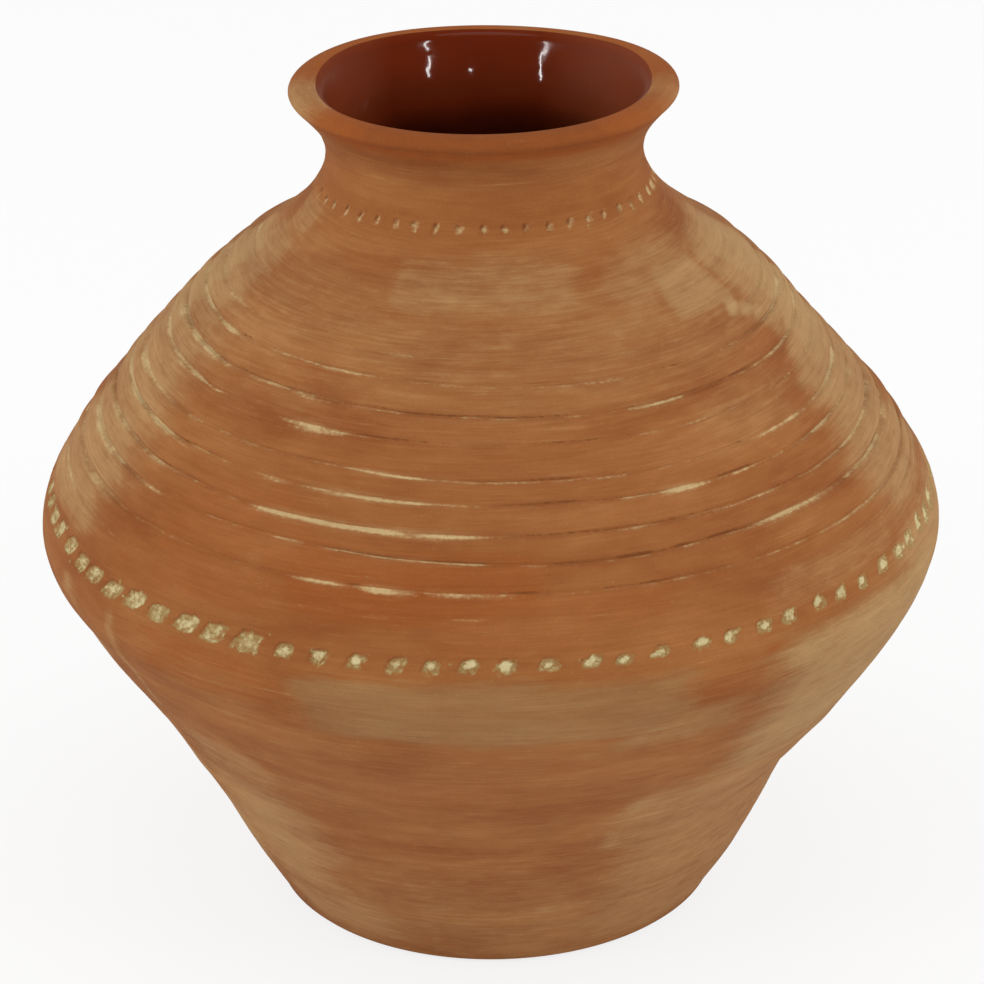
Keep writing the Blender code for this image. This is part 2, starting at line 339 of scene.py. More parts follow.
def cutRings(deg, z):
    noise = rings["noise"]
    place = np.interp(z, cutHeights, np.arange(len(cutHeights)))
    rib = np.sin(np.pi * (place % 1)) ** 2 * between(z, *rings["ribbed"])
    bold = facing(deg, *rings["boldLeft"]) + rings["rightShare"] * facing(deg, *rings["boldRight"])
    swell = {"rib": softNoise(deg, z, *noise["rib"]), "bold": bold}
    out = rings["rib"] * rib * blend(swell, *rings["ribSwell"])
    cream = np.zeros_like(deg)
    crustAndShade = np.zeros_like(deg)
    smear = np.zeros_like(deg)
    for k, (height, depth, strokes, dark) in enumerate(rings["cuts"]):
        d = (z - height) * math.hypot(1, wallSlope(height))  # up the wall from the cut
        if abs(d) > rings["reach"]:
            continue
        along = {name: softNoise(deg, height, *each) for name, each in rings["cutNoise"].items()}
        along["flecks"] = softNoise(deg, z, *noise["flecks"])
        uneven = blend(along, *rings["uneven"])
        cut = depth * (np.clip(uneven, *rings["cutLimits"]) + rings["boldDepth"] * bold)
        lower, upper = rings["burrHigh"]
        burrAndHighlight = lower * blend(along, *rings["burrAndHighlight"]) * hump(d, *rings["lowerBurr"])
        burrAndHighlight = burrAndHighlight + upper * hump(d, *rings["upperBurr"])
        out = out - cut * hump(d, 0, rings["width"] * (1 + rings["widthSwing"] * along["width"])) + cut * burrAndHighlight

        patchy = blend(along, *rings["patchy"])
        thin = depth * blend(along, *rings["thin"])
        thin = thin + rings["boldSlip"] * depth * bold * blend(along, *rings["boldThin"])
        middle, half = rings["slipLine"]
        line = hump(d, middle, half + rings["boldWide"] * bold)
        cream = np.maximum(cream, rings["slipShare"] * thin * line)
        smear = np.maximum(smear, rings["smearShare"] * thin * hump(d, *rings["slipSmear"]))
        fuller = 1 + rings["boldStroke"] * bold
        ends = rings["strokeEnds"] * softNoise(deg, z, *noise["ends"])
        longSoft, shortSoft = rings["strokeSoft"]
        least, more = rings["strokeThick"]
        film, below, wider = rings["strokeSmear"]
        for start, end, strength, thick in strokes + backStrokes(rings["backSeed"] + k):
            load = facing(deg + ends, start, end, min(longSoft, (end - start) / shortSoft))
            held = strength * fuller * load
            thick = thick * fuller * (least + more * load)
            line = hump(d, -rings["strokeSag"] * thick, thick)
            cream = np.maximum(cream, held * patchy * line * (1 - ease(*rings["strokeTop"], d)))
            smear = np.maximum(smear, film * held * hump(d, below, thick + wider))
        # dark crust along the cut, partly painted shadow in the groove, darker for a deeper cut
        for start, end, strength in dark:
            load = facing(deg, start, end, rings["darkSoft"]) * blend(along, *rings["dark"])
            crustAndShade = np.maximum(crustAndShade, strength * load * hump(d, *rings["darkLine"]))
        load = rings["crustAndShadeShare"] * np.clip(uneven, *rings["crustAndShadeLimits"]) * depth
        crustAndShade = np.maximum(crustAndShade, load * hump(d, *rings["crustAndShadeLine"]))
    return out, cream, crustAndShade, smear


# stamped dots on the belly: where each sits on the front, and how big the stick's print is
dots = {
    "count": 79,
    "seed": 31,
    "height": 144.6,
    "first": -88.4,
    "frontAngles": (-166.0, -162.0, -156.8, -152.2, -148.2, -143.6, -139.1, -134.6, -129.6, -125.2,
                    -120.5, -115.4, -110.9, -106.3, -101.4, -97.2, -92.8, -88.4, -83.4, -78.4, -74.4,
                    -69.8, -64.6, -60.4, -55.6, -51.6, -46.4, -42.5, -37.8, -32.6, -28.2, -24.0, -19.4,
                    -15.4, -11.3, -7.2),
    "wide": 6.3,
    "tall": 5.3,
    "depth": 1.0,
    "leftRise": 1.7,  # the row climbs a little on the far left
    "risen": (-200, -158, 14),  # from, to, soft end
    "broadLeft": (-176, -118, 3),  # bigger, squarer prints
    "broadRight": (-32, 4, 4),
    "rightShare": 0.4,  # how broad the right is against the left
    "square": (3.2, 1.6),  # power of the print's outline, and what a broad one adds
    "slanted": (-82, -58, 8),  # pressed at a slant, so less tall
    "slantFlat": 0.32,
    "near": 0.7,  # a print this part of a step from a front angle goes there
    "stray": 0.45,  # degrees that the others stray
    # what differs from print to print: from, to, and what a broad one adds
    "prints": {"height": (-0.35, 0.35, 0), "wide": (0.9, 1.12, 2.4), "tall": (0.9, 1.1, 0.8),
               "lean": (0.25, 0.6, 0.25), "depth": (0.75, 1.15, 0), "crumbRight": (-0.1, 0.12, 0),
               "crumbUp": (-0.08, 0.14, 0), "crumbSize": (0.25, 0.34, 0.04), "load": (0.9, 1.2, -0.3),
               "film": (0.3, 0.5, 0.22), "burrAndHighlight": (0.25, 0.5, 0.25)},
    "span": 4,  # degrees to each side that one print can mark
    # how far out from the print's middle, with 1 at its edge, each of these fades out
    "pitFade": (0.55, 1.12),
    "crumbFade": (0.55, 1.3),
    "filmFade": (0.7, 1.1),
    # and where these run round it, with half widths
    "rimLine": (1.22, 0.16),
    # painted highlight: a pale slip ring where the pit's rim would catch the light
    "paintedHighlightLine": (0.92, 0.17),
    # painted shade: a dark ring where the pit's rim would be in shade
    "crustAndShadeLine": (0.95, 0.18),
    "rimHigh": 0.14,  # against the print's depth
    "crumbHigh": 0.35,
    "crustAndShadeShare": 0.55,
    "smear": (0.7, 0.8),  # share of the slip, and the most that counts
    # each: a start, shares of noises or of the place in the print, and the limits it is held between
    "ragged": (1, {"coarse": 0.12, "lumps": 0.07}),
    "pit": (0.75, {"lumps": 0.2, "up": 0.3, "right": -0.3}),
    "crumb": (1, {"coarse": 0.35, "lumps": 0.3}),
    "film": (0.85, {"lumps": 0.5}, 0, 1.4),
    "burrAndHighlight": (0.7, {"lumps": 0.7}, 0, 1.4),
    # painted highlight on the print's lower right, painted shade on its upper left
    "paintedLitSide": (0.1, {"right": 1.3, "up": -1.3}, 0, 1),
    "paintedShadeSide": (0.4, {"up": 0.8, "right": -0.8}, 0.05, 1),
    "gritShare": 0.6,  # of the grit in the lumps
    # the seeds count up from dot to dot
    "noise": {"coarse": (420, 2.0, 400), "lumps": (640, 1.3, 500), "grit": (900, 0.9, 600)},
    "rows": 0.6,
    "band": (138.9, 149.3),
}


def dotList():
    pitch = 360 / dots["count"]
    chance = np.random.default_rng(dots["seed"])
    made = []
    for i in range(dots["count"]):
        angle = turnFrom(dots["first"] + i * pitch, 0)
        near = [a for a in dots["frontAngles"] if abs(a - angle) < pitch * dots["near"]]
        if near:
            angle = min(near, key=lambda a: abs(a - angle))
        else:
            angle = angle + chance.uniform(-dots["stray"], dots["stray"])
        broad = facing(angle, *dots["broadLeft"]) + dots["rightShare"] * facing(angle, *dots["broadRight"])
        dot = {name: chance.uniform(*swing[:2]) for name, swing in dots["prints"].items()}
        for name in ("wide", "tall", "depth"):
            dot[name] = dot[name] * dots[name]
        dot["tall"] = dot["tall"] * (1 - dots["slantFlat"] * facing(angle, *dots["slanted"]))
        for name, swing in dots["prints"].items():
            dot[name] = dot[name] + swing[2] * broad
        dot["angle"] = angle
        dot["height"] = dot["height"] + (dots["height"] + dots["leftRise"] * facing(angle, *dots["risen"]))
        dot["square"] = dots["square"][0] + dots["square"][1] * broad
        made.append(dot)
    return made


dotPrints = dotList()


def stampDots(deg, z):
    out = np.zeros_like(deg)
    cream = np.zeros_like(deg)
    crustAndShade = np.zeros_like(deg)
    if not dots["band"][0] < z < dots["band"][1]:
        return out, cream, crustAndShade, cream
    for i, dot in enumerate(dotPrints):
        off = turnFrom(deg, dot["angle"])
        here = np.abs(off) < dots["span"]
        v = (z - dot["height"]) * math.hypot(1, wallSlope(dot["height"]))
        u = np.radians(off[here]) * wallRadius(dot["height"]) - dot["lean"] * v
        u = u / dot["wide"]
        v = v / dot["tall"]
        spot = {"right": u, "up": v}
        for name, (cells, tall, seed) in dots["noise"].items():
            spot[name] = softNoise(deg[here], z, cells, tall, seed + i)
        spot["lumps"] = spot["lumps"] + dots["gritShare"] * spot["grit"]
        square = dot["square"]
        reach = (np.abs(2 * u) ** square + np.abs(2 * v) ** square) ** (1 / square)
        reach = reach * blend(spot, *dots["ragged"])
        pit = (1 - ease(*dots["pitFade"], reach)) * blend(spot, *dots["pit"])
        crumb = np.hypot(u - dot["crumbRight"], v - dot["crumbUp"]) / dot["crumbSize"]
        crumb = 1 - ease(*dots["crumbFade"], crumb * blend(spot, *dots["crumb"]))
        rim = dots["rimHigh"] * hump(reach, *dots["rimLine"])
        out[here] += dot["depth"] * (rim - pit + dots["crumbHigh"] * crumb)
        film = dot["film"] * (1 - ease(*dots["filmFade"], reach)) * blend(spot, *dots["film"])
        # painted highlight: a pale slip ring at the rim, kept on the lower right; painted shade: a dark ring,
        # kept on the upper left
        burrAndHighlight = dot["burrAndHighlight"] * hump(reach, *dots["paintedHighlightLine"]) * blend(spot, *dots["burrAndHighlight"])
        cream[here] += np.maximum(film, dot["load"] * crumb) + burrAndHighlight * blend(spot, *dots["paintedLitSide"])
        dark = dots["crustAndShadeShare"] * hump(reach, *dots["crustAndShadeLine"])
        crustAndShade[here] += dark * blend(spot, *dots["paintedShadeSide"])
    share, most = dots["smear"]
    return out, cream, crustAndShade, share * np.clip(cream, 0, most)


# fingernail nicks at the root of the neck
nicks = {
    "count": 48,
    "seed": 41,
    "height": 248.2,
    "first": -92.0,
    "wide": 2.7,
    "tall": 3.9,
    "depth": 1.0,
    "lean": 0.25,
    "sag": 1.5,  # the row hangs lower at the sides
    "span": 5,  # degrees to each side that one nick can mark
    # what differs from nick to nick: from, to
    "prints": {"angle": (-0.6, 0.6), "height": (-0.3, 0.3), "wide": (0.8, 1.3), "tall": (0.75, 1.15),
               "depth": (0.35, 1.1), "load": (0.5, 0.9)},
    "sideLoad": 0.25,  # more slip at the sides
    # right of and above the nick's middle, and size against the nick
    "pit": (0, 0, 0.85),
    "pushed": (1.1, 0, 1.0),
    "slip": (0.5, -0.4, 0.9),
    # painted shade: a dark spot on the nick's upper left, where its wall would be in shade
    "crustAndShade": (-0.5, 0.6, 0.55),
    "pushedHigh": 0.3,
    "crustAndShadeShare": 0.8,
    "smearShare": 0.75,
    "patchy": (0.85, {"slip": 0.4}),  # a start and the share of the noise
    "slipNoise": (420, 0.9, 45),
    "rows": 0.55,
    "band": (244.2, 252.2),
}


def nickList():
    chance = np.random.default_rng(nicks["seed"])
    made = []
    for i in range(nicks["count"]):
        nick = {name: chance.uniform(*swing) for name, swing in nicks["prints"].items()}
        nick["angle"] = nick["angle"] + (nicks["first"] + i * 360 / nicks["count"])
        sideways = abs(math.cos(math.radians(nick["angle"])))
        nick["height"] = nicks["height"] + nick["height"] - nicks["sag"] * sideways ** 2
        for name in ("wide", "tall", "depth"):
            nick[name] = nick[name] * nicks[name]
        nick["load"] = nick["load"] + nicks["sideLoad"] * sideways
        made.append(nick)
    return made


nickPrints = nickList()


def pressNicks(deg, z):
    out = np.zeros_like(deg)
    cream = np.zeros_like(deg)
    crustAndShade = np.zeros_like(deg)
    if not nicks["band"][0] < z < nicks["band"][1]:
        return out, cream, crustAndShade, cream
    for nick in nickPrints:
        off = turnFrom(deg, nick["angle"])
        here = np.abs(off) < nicks["span"]
        v = (z - nick["height"]) * math.hypot(1, wallSlope(nick["height"]))
        u = np.radians(off[here]) * wallRadius(nick["height"]) - nicks["lean"] * v
        spot = {}
        for name in ("pit", "pushed", "slip", "crustAndShade"):
            right, up, size = nicks[name]
            spot[name] = hump(np.hypot(2 * (u - right) / nick["wide"], 2 * (v - up) / nick["tall"]), 0, size)
        out[here] += nick["depth"] * (nicks["pushedHigh"] * spot["pushed"] - spot["pit"])
        patchy = blend({"slip": softNoise(deg[here], z, *nicks["slipNoise"])}, *nicks["patchy"])
        cream[here] += nick["load"] * spot["slip"] * patchy
        # painted shade on the nick's upper left
        crustAndShade[here] += nicks["crustAndShadeShare"] * spot["crustAndShade"]
    return out, cream, crustAndShade, nicks["smearShare"] * cream


# where the slip wash lies pale, lies olive, or leaves the red clay bare (from, to, lowest, highest, soft
# edge, load), and the thin pale film at each height, lifted under the lip as painted light
washes = {
    "dustAndPaintedLight": ((0, 20, 45, 70, 100, 118, 140, 165, 190, 205, 222, 240, 252, 266, 271, 281),  # heights, load
             (0.48, 0.49, 0.44, 0.34, 0.34, 0.3, 0.22, 0.18, 0.26, 0.36, 0.48, 0.32, 0.1, 0.3, 0.1, 0)),
    # the pale patches along the two flanks, round -180 and 0, on the lip too, are partly slip and partly
    # painted sheen where the wall turns away
    "pale": ((-31.5, -26, 217, 221.5, 2.2, 1.25), (-28.5, -22, 215, 219, 2.2, 1.1),
             (-25, -19.5, 213, 217, 2, 0.95), (-36, -29, 220, 222, 1.2, 0.7),
             (-194, -166, 194, 234, 7, 0.95), (-186, -154, 206, 236, 7, 0.75),
             (-196, -152, 178, 210, 7, 0.75), (-184, -152, 148, 182, 7, 0.75),
             (-162, -146, 162, 218, 8, 0.5), (-18, 12, 190, 234, 7, 1.0), (-46, -24, 219, 233, 5, 0.85),
             (-26, 6, 204, 236, 7, 0.8), (-25, 14, 172, 208, 7, 0.8), (-28, 4, 150, 182, 7, 0.75),
             (-28, 12, 112, 150, 8, 0.85), (-20, 18, 84, 116, 7, 0.8), (-26, 2, 58, 88, 7, 0.8),
             (-62, -20, 221, 240, 6, 0.58), (-60, -25, 186, 207, 8, 0.45), (-56, -26, 146, 158, 4, 0.5),
             (-118, -62, 226, 243, 6, 0.6), (-55, -18, 84, 139, 7, 0.75), (-71, -63, 71, 83, 4, 0.8),
             (-73, -66, 53, 67, 4, 0.7), (-77, -70, 59, 71, 4, 0.45),
             (-157.5, -153.5, 131, 138, 2.2, 0.7), (-155.5, -151.5, 128, 134, 2, 0.55),
             (-144.2, -142, 100, 138, 1.2, 0.65), (-125, -121, 160, 167, 2, 0.32),
             (-121, -116, 152, 158, 2, 0.3), (-124, -118, 147, 151, 1.5, 0.28),
             (-178, -150, 86, 120, 8, 0.8), (-192, -150, 52, 90, 8, 0.75), (-174, -144, 18, 56, 9, 0.8),
             (-152, -118, 16, 78, 15, 0.8), (-150, -108, 0, 30, 14, 0.75), (-140, -122, 194, 208, 6, 0.3),
             (-146, -122, 72, 96, 6, 0.6), (-78, -58, 109, 125, 5, 0.45), (-83.5, -76, 25.5, 30, 3, 0.75),
             (-176, -155, 234, 246, 4, 0.6), (-186, -148, 266, 282, 14, 0.95),
             (-32, 2, 266, 282, 14, 0.5), (-74, 0, 0, 90, 12, 0.67), (20, 70, 60, 120, 8, 0.8),
             (90, 140, 190, 230, 8, 0.6), (120, 175, 90, 132, 7, 0.7), (40, 100, 5, 40, 8, 0.5)),
    "olive": ((-114, -84, 119, 140.5, 4, 0.9), (-96, -65, 117, 139, 4, 0.8),
              (-104, -74, 126, 140, 3, 0.6), (-80, -56, 109, 126, 5, 0.6),
              (-134, -117, 116, 134, 3, 0.35), (-100, -55, 224, 240, 6, 0.2), (-56, -16, 82, 141, 7, 0.8),
              (-190, -150, 150, 232, 8, 0.35), (-22, 10, 150, 225, 8, 0.4), (85, 135, 118, 139, 3, 0.9),
              (10, 60, 200, 230, 7, 0.4)),
    "red": ((-142, -113, 150, 185, 6, 0.58), (-120, -80, 154, 173, 5, 0.85), (-84, -66, 152, 163, 5, 0.6),
            (-98, -76, 145, 156, 4, 0.5), (-137, -118, 125, 141, 4, 0.75),
            (-150, -132, 147, 162, 5, 0.45), (-134, -118, 208, 219, 4, 0.5), (-66, -56, 120, 141, 3, 0.3),
            (-36, -20, 207, 213, 3, 0.6), (-122, -45, 182, 210, 9, 0.4), (-125, -75, 44, 70, 9, 0.4),
            (-112, -80, 78, 104, 7, 0.45), (-57, -52, 135, 139, 1.5, 0.9), (60, 130, 150, 188, 6, 0.9),
            # on the lip the load climbs towards the front past 1.25, where the clay turns to the dark crust
            # colour: painted shade on the lip's front
            (-160, -20, 272, 290, 4, 0.6), (-152, -28, 272, 290, 4, 0.95), (-145, -35, 272, 290, 4, 1.25),
            (-138, -42, 272, 290, 4, 1.5), (-130, -50, 272, 290, 4, 1.75), (0, 180, 272, 290, 4, 1.0),
            (150, 178, 110, 140, 5, 0.6)),
    "front": (-196, 16, 10),  # behind this stretch the patches run freely and wear thin
    "loose": 25,  # degrees; a smaller patch keeps more of its shape
    # how far the patches' ends and edges wander in degrees and millimetres, and the noise, whose seed
    # counts up from wash to wash
    "ends": ((2.2, 14, 3.2, 51), (2.5, 26, 9, 61), (0.9, 90, 2.2, 55)),
    "edges": ((1.6, 24, 40, 65), (0.8, 70, 40, 68)),
    "freeEnds": ((13, 8, 21, 85), (6, 20, 8, 88)),
    "freeEdges": ((8, 14, 60, 75), (4, 32, 30, 78)),
    "worn": ((1, 18, 12, 81),),
    "wornRange": (-0.5, 0.8),  # of that noise
    "wornShare": 0.4,
}


def washNoise(name, deg, z, k):
    return sum(far * softNoise(deg, z, cells, tall, seed + k) for far, cells, tall, seed in washes[name])


def washLoads(deg, z):
    aside = 1 - facing(deg, *washes["front"])
    loads = []
    for k, name in enumerate(("pale", "olive", "red")):
        load = np.zeros_like(deg)
        ends = washNoise("ends", deg, z, k) + aside * washNoise("freeEnds", deg, z, k)
        edges = washNoise("edges", deg, z, k) + aside * washNoise("freeEdges", deg, z, k)
        worn = ease(*washes["wornRange"], washNoise("worn", deg, z, k))
        worn = 1 - washes["wornShare"] * aside * worn
        for start, end, low, high, soft, strength in washes[name]:
            loose = min(1.0, (end - start) / washes["loose"])
            patch = facing(deg + loose * ends, start, end, soft) * between(z + loose * edges, low, high, soft)
            load = np.maximum(load, strength * worn * patch)
        loads.append(load)
    loads[0] = np.maximum(loads[0], np.interp(z, *washes["dustAndPaintedLight"]))
    return np.stack(loads, 1)


handMarks = ((0.1, 11, 13, 71), (0.06, 17, 2.6, 72))  # faint waves left by the throwing: height, noise


def surface(deg, z):  # relief in millimetres along the wall's normal, and what the materials read
    out = sum(high * softNoise(deg, z, *noise) for high, *noise in handMarks)
    marks = np.zeros((len(deg), 3))  # slip in the rings, dark crust and painted shade, slip in the prints
    tones = washLoads(deg, z)
    for press, own in ((cutRings, 0), (stampDots, 2), (pressNicks, 0)):
        relief, cream, crustAndShade, smear = press(deg, z)
        out = out + relief
        marks[:, own] += cream
        marks[:, 1] += crustAndShade
        tones[:, 0] = np.maximum(tones[:, 0], smear)
    return out, marks, tones


# how finely the meshes are cut
fineness = {
    "around": 416,  # faces round the pot
    "finer": 4,  # times as many in the two stamped rows
    "underside": (3, 26),  # smallest ring, number of rings
    "footTurns": (22, 45, 68),  # rings round the foot's edge
    "lip": 44,  # rings over the lip
    "lipSamples": (60, 90, 30),  # outside, over the roll, inside
    "rows": {"base": 1.5, "foot": 1.9, "belly": 1.7, "underDots": 1.4, "rings": 1.9, "shoulder": 1.8,
             "underNicks": 1.2, "neck": 1.1},  # millimetres from row to row
    "hiddenShare": 0.12,  # how much of the bake's map a hidden face gets
    "mapMargin": (0.004, 0.012),
}


def angles(count):
    return np.arange(count) * 360 / count - 180


def ringOf(deg, r, z, marks, tones, outer):
    turn = np.radians(deg)
    points = np.stack((r * np.cos(turn), r * np.sin(turn), z + 0 * r), 1)
    return {"points": points, "marks": marks, "tones": tones, "outer": outer}


def profileRing(r, z, normal, count, strength=1.0):  # one ring of the outer skin
    deg = angles(count)
    shift = ringShift(deg, z) if normal is None else 0 * deg
    height = z + shift
    if normal is None:
        slope = wallSlope(height)
        long = np.hypot(1, slope)
        normal = (1 / long, -slope / long)
        r = wallRadius(height)
    out, marks, tones = surface(deg, z)
    r = r + outOfRound(deg, z) * ease(0, pot["footEdge"], z) + out * normal[0] * strength
    return ringOf(deg, r, height + out * normal[1] * strength + mouthLift(deg, z), marks, tones, True)


def plainRing(r, z, count):  # one ring of a hidden face
    deg = angles(count)
    none = np.zeros((count, 3))
    return ringOf(deg, r + outOfRound(deg, z), z + mouthLift(deg, z), none, none, False)


def insideRadius(z):  # an even wall up to the throat, then a flare to the lip's inner edge
    low, narrow = pot["throat"]
    up = np.clip((z - low) / (heights[-1] - low), 0, 1)
    flare = narrow + (radii[-1] - pot["lipWidth"] - narrow) * up ** pot["flare"]
    return np.where(z > low, flare, wallRadius(z) - pot["wall"] * np.hypot(1, wallSlope(z)))


def smoothed(line, spread):  # a dense outline with its corners rounded and its ends held
    step = pot["outlineStep"]
    arc = arcAlong(line)
    even = np.linspace(0, arc[-1], int(arc[-1] / step))
    line = np.stack([np.interp(even, arc, line[:, i]) for i in (0, 1)], 1)
    reach = int(4 * spread / step)
    weights = np.exp(-0.5 * (np.arange(-reach, reach + 1) * step / spread) ** 2)
    before = 2 * line[:1] - line[reach:0:-1]
    after = 2 * line[-1:] - line[-2:-reach - 2:-1]
    padded = np.concatenate((before, line, after))
    return np.stack([np.convolve(padded[:, i], weights / weights.sum(), "valid") for i in (0, 1)], 1)


def lipPoint(turn):  # on the roll's oval, from its outer edge over the top to its inner edge
    half = pot["lipWidth"] / 2
    return radii[-1] - half + half * np.cos(turn), heights[-1] + pot["lipHeight"] / 2 * np.sin(turn)


def lipOutline():  # from the neck's outer face over the roll and down inside to the same height
    low = pot["seams"][4]
    outer, over, inner = fineness["lipSamples"]
    z = np.linspace(low, heights[-1], outer)
    outside = np.stack((wallRadius(z), z), 1)
    roll = np.stack(lipPoint(np.linspace(0, np.pi, over)[1:]), 1)
    down = np.linspace(heights[-1], low, inner)[1:, None]
    within = np.hstack((insideRadius(down), down))
    return smoothed(np.concatenate((outside, roll, within)), pot["lipRounding"])


def lineNormals(line):
    along = np.gradient(line, axis=0)
    along /= np.hypot(*along.T)[:, None]
    return np.stack((along[:, 1], -along[:, 0]), 1)


def wallRows():  # (height, finer) for every ring of the outer wall, seams among them
    base, foot, belly, neck, lip = pot["seams"]
    step = fineness["rows"]
    rows = []

    def lay(found, finer=False):
        rows.extend((z, finer) for z in found)

    lay(rowsBetween(pot["footEdge"], base, step["base"]))
    lay(rowsBetween(base, foot, step["foot"])[1:])
    lay(rowsBetween(foot, belly, step["belly"])[1:])
    low, high = dots["band"]
    lay(rowsBetween(belly, low, step["underDots"])[1:-1])
    lay(rowsBetween(low, high, dots["rows"]), True)
    last = high
    for height in cutHeights:
        cut = [height + d / math.hypot(1, wallSlope(height)) for d in rings["rows"]]
        lay(rowsBetween(last, cut[0], step["rings"])[1:-1])
        lay(cut)
        last = cut[-1]
    lay(rowsBetween(last, neck, step["shoulder"])[1:])
    low, high = nicks["band"]
    lay(rowsBetween(neck, low, step["underNicks"])[1:-1])
    lay(rowsBetween(low, high, nicks["rows"]), True)
    lay(rowsBetween(high, lip, step["neck"])[1:])
    return rows


def outerSkin():  # every ring of the clay's outer face, from the middle of the underside to inside the lip
    count = fineness["around"]
    made = []
    flat = pot["radii"][0] - pot["footEdge"]
    smallest, number = fineness["underside"]
    for r in np.linspace(smallest, flat, number):
        under = profileRing(r, 0.0, (0, -1), count, 0.0)
        under["tones"] = under["tones"] * ease(0.8 * flat, flat, r)  # bare clay underneath
        made.append((0, under))
    edge = float(wallRadius(pot["footEdge"])) - flat
    for turn in np.radians(fineness["footTurns"]):
        r = flat + edge * math.sin(turn)
        z = pot["footEdge"] * (1 - math.cos(turn))
        made.append((z, profileRing(r, z, (math.sin(turn), -math.cos(turn)), count, pot["footRelief"])))
    for z, fine in wallRows():
        made.append((z, profileRing(0, z, None, count * (fineness["finer"] if fine else 1))))
    line = lipOutline()
    normals = lineNormals(line)
    for i in np.linspace(0, len(line) - 1, fineness["lip"]).astype(int)[1:]:
        ring = profileRing(line[i, 0], line[i, 1], normals[i], count, pot["lipRelief"])
        made.append((math.inf, ring))  # no seam is looked for here
    return made


def stripFaces(low, high):  # faces between two rings of given counts: corner (ring, place round) pairs
    n = min(low, high)
    j = np.arange(n)
    if low == high:
        return [[(0, j), (0, j + 1), (1, j + 1), (1, j)]]
    many = max(low, high) // n
    half = many // 2
    faces = []
    for k in range(many):
        own = j if k < half else j + 1
        if high > low:
            faces.append([(0, own), (1, j * many + k + 1), (1, j * many + k)])
        else:
            faces.append([(0, j * many + k), (0, j * many + k + 1), (1, own)])
    middle = j * many + half
    faces.append([(0, j), (0, j + 1), (1, middle)] if high > low else [(0, middle), (1, j + 1), (1, j)])
    return faces


def skinNormals(chain):  # smooth normals over all sections, so that no seam shows
    counts = [len(ring["points"]) for ring in chain]
    sums = [np.zeros((n, 3)) for n in counts]
    for a in range(len(chain) - 1):
        pair = (chain[a]["points"], chain[a + 1]["points"])
        for corners in stripFaces(counts[a], counts[a + 1]):
            p = [pair[ring][place % len(pair[ring])] for ring, place in corners]
            normal = np.cross(p[1] - p[0], p[-1] - p[0])
            if len(p) == 4:
                normal = np.cross(p[2] - p[0], p[3] - p[1])
            for ring, place in corners:
                np.add.at(sums[a + ring], place % counts[a + ring], normal)
    for ring, normal in zip(chain, sums):
        ring["normals"] = normal / np.linalg.norm(normal, axis=1)[:, None]


